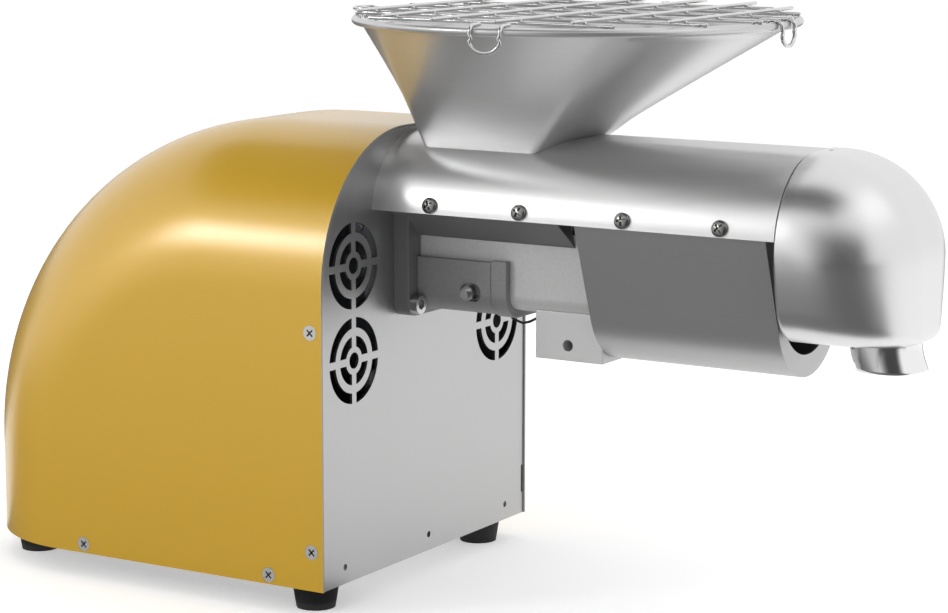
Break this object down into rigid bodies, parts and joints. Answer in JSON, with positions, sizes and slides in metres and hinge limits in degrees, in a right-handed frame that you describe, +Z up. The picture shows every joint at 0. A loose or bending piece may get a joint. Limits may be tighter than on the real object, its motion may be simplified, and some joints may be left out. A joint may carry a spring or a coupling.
{
  "type": "domestic screw oil press",
  "caption": "Domestic screw oil press: arched motor housing on feet, horizontal press arm with curved cover and spouted cap, round hopper with a wire guard.",
  "frame": {"origin": "on the table, under the middle of the bounding box", "axes": "+X forward along the press arm, from the motor housing to the cap; +Y to the side with the switches; +Z up"},
  "size_m": [0.549, 0.2396, 0.3174],
  "materials": {
    "gold_paint": "satin metallic",
    "brushed_stainless": "brushed",
    "plain_steel": "machined",
    "zinc_screws": "bright zinc",
    "rubber": "matte",
    "cast_aluminium": "sand cast",
    "dark_casting": "as cast",
    "motor_iron": "painted",
    "copper": "enamelled wire",
    "satin_stainless": "bead blasted",
    "bright_wire": "polished",
    "black_plastic": "matte",
    "red_plastic": "gloss",
    "circuit_board": "matte",
    "capacitor_can": "smooth"
  },
  "bodies": {
    "frame": {"base_plate": "plain_steel", "shell": "gold_paint", "front_panel": "brushed_stainless", "shell_screws": "zinc_screws", "foot_front_near": "rubber", "foot_front_far": "rubber", "foot_rear_near": "rubber", "foot_rear_far": "rubber", "foot_screws": "zinc_screws", "gearbox_case": "cast_aluminium", "gearbox_lid": "cast_aluminium", "gearbox_bolts": "zinc_screws", "motor_can": "motor_iron", "motor_end_bell": "motor_iron", "motor_bolts": "zinc_screws", "motor_saddle": "plain_steel", "motor_bearings": "plain_steel", "stator_core": "motor_iron", "stator_coils": "copper", "idler_bearings": "plain_steel", "output_bearings": "plain_steel", "shaft_seal": "rubber", "arm_frame": "dark_casting", "flange_bolts": "zinc_screws", "barrel_holder": "cast_aluminium", "press_barrel": "plain_steel", "barrel_nut": "plain_steel", "heater_jacket": "cast_aluminium", "jacket_band": "cast_aluminium", "sensor_lead": "black_plastic", "support_block": "plain_steel", "oil_guard": "satin_stainless", "oil_guard_plate": "satin_stainless", "arm_cover": "satin_stainless", "cover_screws": "zinc_screws", "drive_switch_frame": "black_plastic", "heat_switch_frame": "black_plastic", "mains_inlet": "black_plastic", "control_board": "circuit_board", "run_capacitor": "capacitor_can", "capacitor_clip": "black_plastic"},
    "screw_drive": {"output_gear": "plain_steel", "output_shaft": "plain_steel", "press_screw": "plain_steel"},
    "idler": {"idler_shaft": "plain_steel", "idler_gear": "plain_steel"},
    "rotor": {"rotor_core": "motor_iron", "motor_shaft": "plain_steel", "cooling_fan": "black_plastic"},
    "hopper": {"hopper": "brushed_stainless"},
    "wire_guard": {"guard_ring": "bright_wire", "guard_wires": "bright_wire", "guard_clips": "bright_wire"},
    "cap": {"end_cap": "satin_stainless", "spout": "bright_wire"},
    "drive_rocker": {"drive_rocker": "red_plastic"},
    "heat_rocker": {"heat_rocker": "black_plastic"},
    "lock_pin": {"lock_pin": "zinc_screws"}
  },
  "joints": [
    {"name": "screw_spin", "type": "hinge", "parent": "frame", "child": "screw_drive", "pos_m": [0.1, 0, 0.18], "axis": [1, 0, 0], "continuous": true},
    {"name": "idler_spin", "type": "hinge", "parent": "frame", "child": "idler", "pos_m": [-0.05, 0, 0.1125], "axis": [1, 0, 0], "continuous": true},
    {"name": "rotor_spin", "type": "hinge", "parent": "frame", "child": "rotor", "pos_m": [-0.14, 0, 0.0675], "axis": [1, 0, 0], "continuous": true},
    {"name": "hopper_lift", "type": "slide", "parent": "frame", "child": "hopper", "axis": [0, 0, 1], "range_m": [0, 0.08]},
    {"name": "guard_lift", "type": "slide", "parent": "hopper", "child": "wire_guard", "axis": [0, 0, 1], "range_m": [0, 0.03]},
    {"name": "cap_pull", "type": "slide", "parent": "frame", "child": "cap", "axis": [1, 0, 0], "range_m": [0, 0.06]},
    {"name": "drive_rocker_tilt", "type": "hinge", "parent": "frame", "child": "drive_rocker", "pos_m": [-0.0785, 0.099, 0.084], "axis": [1, 0, 0], "range_deg": [-8, 8]},
    {"name": "heat_rocker_tilt", "type": "hinge", "parent": "frame", "child": "heat_rocker", "pos_m": [-0.1105, 0.099, 0.084], "axis": [1, 0, 0], "range_deg": [0, 16]},
    {"name": "lock_pin_pull", "type": "slide", "parent": "frame", "child": "lock_pin", "axis": [0, -1, 0], "range_m": [0, 0.004], "stiffness_N_per_m": 800, "springref_m": -0.003}
  ],
  "couplings": [
    {"joint": "idler_spin", "follows": "screw_spin", "ratio": -4},
    {"joint": "rotor_spin", "follows": "screw_spin", "ratio": 20}
  ]
}
